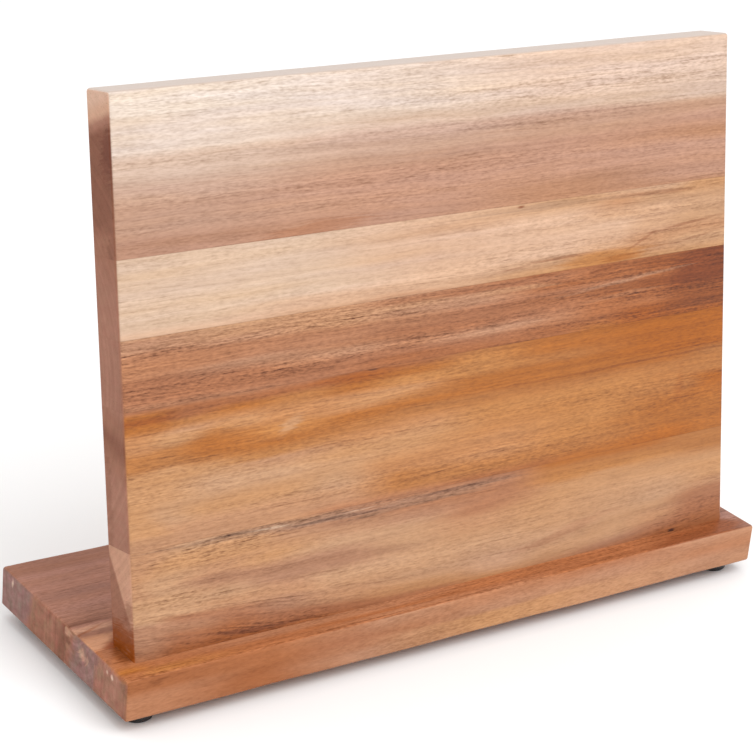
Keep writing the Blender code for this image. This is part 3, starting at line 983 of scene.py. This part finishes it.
def thread_shape(root, crest, pitch, start, stop):
    """Raises a helical ridge on a lathe's rings between the heights start and stop."""

    def shaped(angle, height, radius):
        if not start < height < stop:
            return radius
        turn = (height / pitch - angle / (2 * pi)) % 1
        ridge = max(0.0, 1 - abs(2 * turn - 1) * 1.35) ** 1.2
        fade = min(1.0, (height - start) / pitch, (stop - height) / (1.5 * pitch))
        return radius + (crest - root) * ridge * fade

    return shaped


def wood_screw(head_radius, length, size):
    """A pan-head screw with its head down, at height 0."""
    root, crest, pitch, thread_length, head_ratio = size
    head_height = head_radius * head_ratio
    start = length - thread_length
    profile = [(head_radius * across, head_height * up) for across, up in SCREW_CROWN]
    shank = (root + crest) / 2
    profile += [(shank + SCREW_FILLET, head_height), (shank, head_height + SCREW_FILLET),
                (shank, start)]
    point = 2.2 * pitch
    rings = int(thread_length / (pitch / SCREW_RINGS_IN_A_PITCH))
    for i in range(1, rings):
        height = start + thread_length * i / rings
        taper = min(1.0, (length - height) / point)
        settle = min(1.0, (height - start) / (0.6 * pitch))
        profile.append(((shank + (root - shank) * settle) * taper, height))
    profile.append((SCREW_TIP_RADIUS, length))
    shaped = thread_shape(root, crest, pitch, start, length - 0.4 * pitch)
    recess = cross_cutter(head_radius * CROSS_REACH, head_radius * CROSS_HALF_WIDTH,
                          head_height * CROSS_DEPTH)
    return carved(lathe(profile, SCREW_SIDES, shaped=shaped), [recess])


def cross_cutter(reach, half_width, depth):
    """A plus-shaped point that narrows with depth, for the recess in a screw's head."""
    rings = []
    for height, scale in ((-depth, 1.25), (0.0, 1.0), (depth, 0.45)):
        ring = []
        for i in range(4):
            turn = Matrix.Rotation(pi / 2 * i, 2)
            for point in ((reach, -half_width), (reach, half_width), (half_width, half_width)):
                across, up = turn @ Vector(point) * scale
                ring.append((across, up, height))
        rings.append(ring)
    return loft(rings)


def hole(box, radius, above):
    """A round drilling along Z, from the low end of a box to above its high end."""
    low, high = box
    end = high.z + above
    profile = [(radius, low.z), (radius, end - radius), (radius * HOLE_TIP, end)]
    return placed(lathe(profile, HOLE_SIDES), box)


def screw_hole(box):
    """The drilling for a board screw: a wide bore for its head, and a narrow one beyond."""
    low, high = box
    head = radius_of(box) + HOLE_CLEARANCE
    shank = SCREW_RADIUS + HOLE_CLEARANCE
    shoulder = low.z + SCREW_HEAD_HEIGHT + HOLE_CLEARANCE
    end = high.z + SCREW_HOLE_SPARE
    profile = [(head, low.z - SCREW_BORE_DEPTH), (head, shoulder), (shank, shoulder),
               (shank, end - shank), (shank * HOLE_TIP, end)]
    return placed(lathe(profile, HOLE_SIDES), box)


def dowel_shape(radius, length):
    edge, step = DOWEL_CHAMFER, (length - 2 * DOWEL_CHAMFER) / DOWEL_SECTIONS
    profile = [(radius - edge, 0.0), (radius - DOWEL_EASING, edge * 0.7), (radius, edge)]
    profile += [(radius, edge + step * i) for i in range(1, DOWEL_SECTIONS + 1)]
    profile += [(radius - DOWEL_EASING, length - edge * 0.7), (radius - edge, length)]

    def fluted(angle, height, there):
        groove = max(0.0, cos(DOWEL_FLUTES * angle + height * DOWEL_FLUTE_TWIST)) ** 3
        return there - DOWEL_FLUTE_DEPTH * groove * (there / radius)

    return lathe(profile, DOWEL_SIDES, shaped=fluted)


def foot_shape(radius, height):
    """A moulded rubber foot: a rounded rim, grooves under it and round it, and a recess for
    its screw."""
    inner, rim, lip = FOOT_INNER_RIM, FOOT_RIM, FOOT_LIP
    profile = [(FOOT_BORE, height), (FOOT_BORE, FOOT_RECESS_DEPTH),
               (FOOT_RECESS_RADIUS, FOOT_RECESS_DEPTH)]
    profile += arc((FOOT_RECESS_RADIUS + inner, inner), inner, 180, 270, 4)
    profile += zip(FOOT_GROOVE_RADII, FOOT_GROOVE)
    profile += arc((radius - rim, rim), rim, -90, 0, 12)
    profile += [(radius - depth, height - drop)
                for drop, depth in zip(FOOT_GROOVE_DROPS, FOOT_GROOVE)]
    profile += arc((radius - lip, height - lip), lip, 0, 90, 4)
    return lathe(profile, FOOT_SIDES, closed=True)


# ---------------------------------------------------------------- the object


def board_drillings():
    """The drillings for the board's screws and dowels, in the board's own axes."""
    tools = [screw_hole(board_box(f"board_screw_{i + 1}")) for i in range(BOARD_SCREWS)]
    for i in range(BOARD_DOWELS):
        box = board_box(f"board_dowel_{i + 1}")
        tools.append(hole(box, radius_of(box) + HOLE_CLEARANCE, DOWEL_HOLE_SPARE))
    return tools


def magnet_pockets(row):
    room = Vector((HOLE_CLEARANCE,) * 3)
    boxes = [board_box(f"magnet_{row}_{i + 1}") for i in range(MAGNETS_IN_A_ROW)]
    return [block(low - room, high + room * 3) for low, high in boxes]


def add_board(materials):
    for i, name in enumerate(BOARD_STAVES):
        low = Vector((BOARD_LOW.x, BOARD_LOW.y, JOINT_HEIGHTS[i]))
        high = Vector((BOARD_HIGH.x, BOARD_HIGH.y, JOINT_HEIGHTS[i + 1]))
        outer = {"near", "far", "over"} if name == "top" else {"near", "far"}
        slope = sin(BOARD_LEAN) / cos(BOARD_LEAN) if name == "bottom" else 0.0
        bm = stave(low, high, outer, i, slope)
        if name == "bottom":
            bm = carved(bm, board_drillings())
        if name in ROWS:
            bm = carved(bm, magnet_pockets(name))
        piece(f"wood_board_{name}", bm, BOARD_SPACE, materials[name],
              f"board_stave_{name}")


def add_base(materials):
    for i, name in enumerate(BASE_STAVES):
        low = Vector((BASE_LOW.x, JOINT_DEPTHS[i], BASE_LOW.z))
        high = Vector((BASE_HIGH.x, JOINT_DEPTHS[i + 1], BASE_HIGH.z))
        bm = stave(low, high, {"under", "over"} | BASE_LONG_EDGES[name], i + BASE_EDGE_SEED)
        tools = []
        if name in FOOT_ROWS:
            for side in SIDES:
                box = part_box(f"foot_screw_{name}_{side}")
                tools.append(hole(box, FOOT_BORE, SCREW_HOLE_SPARE))
        if name == "front":
            for tool in board_drillings():
                bmesh.ops.transform(tool, matrix=BOARD_SPACE, verts=tool.verts)
                tools.append(tool)
        if tools:
            bm = carved(bm, tools)
        piece(f"wood_base_{name}", bm, ROW_SPACE, materials[name],
              f"base_stave_{name}")


def add_screw(node, box, space, size, steel):
    low, high = box
    bm = placed(wood_screw(radius_of(box), high.z - low.z, size), box, low.z)
    piece(f"threaded_{node}", bm, space, steel, node)


def add_fixings():
    nickel = metal("magnet_nickel", (205, 203, 198), 0.26, 3000)
    steel = metal("zinc_steel", (196, 198, 200), 0.30, 2600)
    for row in ROWS:
        for i in range(MAGNETS_IN_A_ROW):
            node = f"magnet_{row}_{i + 1}"
            bm = block(*board_box(node), MAGNET_ROUNDING, 3)
            piece(f"bar_{node}", bm, BOARD_SPACE, nickel, node)
    for i in range(BOARD_SCREWS):
        node = f"board_screw_{i + 1}"
        add_screw(node, board_box(node), BOARD_SPACE, BOARD_SCREW, steel)
    pale = beech()
    for i in range(BOARD_DOWELS):
        node = f"board_dowel_{i + 1}"
        low, high = box = board_box(node)
        bm = placed(dowel_shape(radius_of(box), high.z - low.z), box, low.z)
        piece(f"fluted_{node}", bm, BOARD_SPACE, pale, node)
    black = rubber()
    for row in FOOT_ROWS:
        for side in SIDES:
            node = f"foot_{row}_{side}"
            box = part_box(node)
            foot = foot_shape(radius_of(box), BASE_LOW.z - box[0].z)
            piece(f"rubber_{node}", placed(foot, box, box[0].z), ROW_SPACE, black,
                  node)
            node = f"foot_screw_{row}_{side}"
            add_screw(node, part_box(node), ROW_SPACE, FOOT_SCREW, steel)


# ---------------------------------------------------------------- studio


FLOOR_SIZE = 80.0
FLOOR_COLOUR = srgb(243, 243, 243)
CAMERA_PLACE = (-0.551501, -0.721838, 0.470832)
CAMERA_AIM = (-0.0354, -0.0239, 0.1154)
CAMERA_ROLL = radians(5.26)
CAMERA_LENS = 112.64


def add_floor():
    bm = bmesh.new()
    bmesh.ops.create_grid(bm, x_segments=2, y_segments=2, size=FLOOR_SIZE / 2)
    floor = mesh_object("floor", bm)
    g = Graph("pale_floor")
    paint = g.finish(Base_Color=FLOOR_COLOUR, Roughness=0.9, Specular_IOR_Level=0.2)
    floor.data.materials.append(paint)


def add_light(name, place, aim, size, power):
    light = bpy.data.lights.new(name, "AREA")
    light.shape = "RECTANGLE"
    light.size, light.size_y = size
    light.energy = power
    obj = new_object(name, light)
    obj.location = place
    obj.rotation_euler = (Vector(aim) - Vector(place)).to_track_quat("-Z", "Y").to_euler()


def add_studio():
    scene = bpy.context.scene
    world = bpy.data.worlds.new("studio")
    world.use_nodes = True
    background = world.node_tree.nodes["Background"]
    background.inputs["Color"].default_value = (1.0, 1.0, 1.0, 1.0)
    background.inputs["Strength"].default_value = 1.0
    scene.world = world
    add_light("key", (0.25, -1.25, 1.75), (0, 0, 0.1), (1.3, 1.3), 18)
    add_light("overhead", (-0.1, 0.1, 1.9), (0, 0, 0.1), (1.8, 1.8), 4)
    add_floor()
    scene.view_settings.view_transform = "Standard"
    scene.view_settings.look = "None"


def add_camera():
    data = bpy.data.cameras.new("camera")
    data.sensor_width = 36.0
    data.lens = CAMERA_LENS
    camera = new_object("camera", data)
    camera.location = CAMERA_PLACE
    direction = Vector(CAMERA_AIM) - Vector(CAMERA_PLACE)
    level = direction.to_track_quat("-Z", "Y").to_matrix()
    camera.rotation_euler = (level @ Matrix.Rotation(CAMERA_ROLL, 3, "Z")).to_euler()
    bpy.context.scene.camera = camera


woods = wood_materials()
add_board(woods)
add_base(woods)
add_fixings()
add_studio()
add_camera()
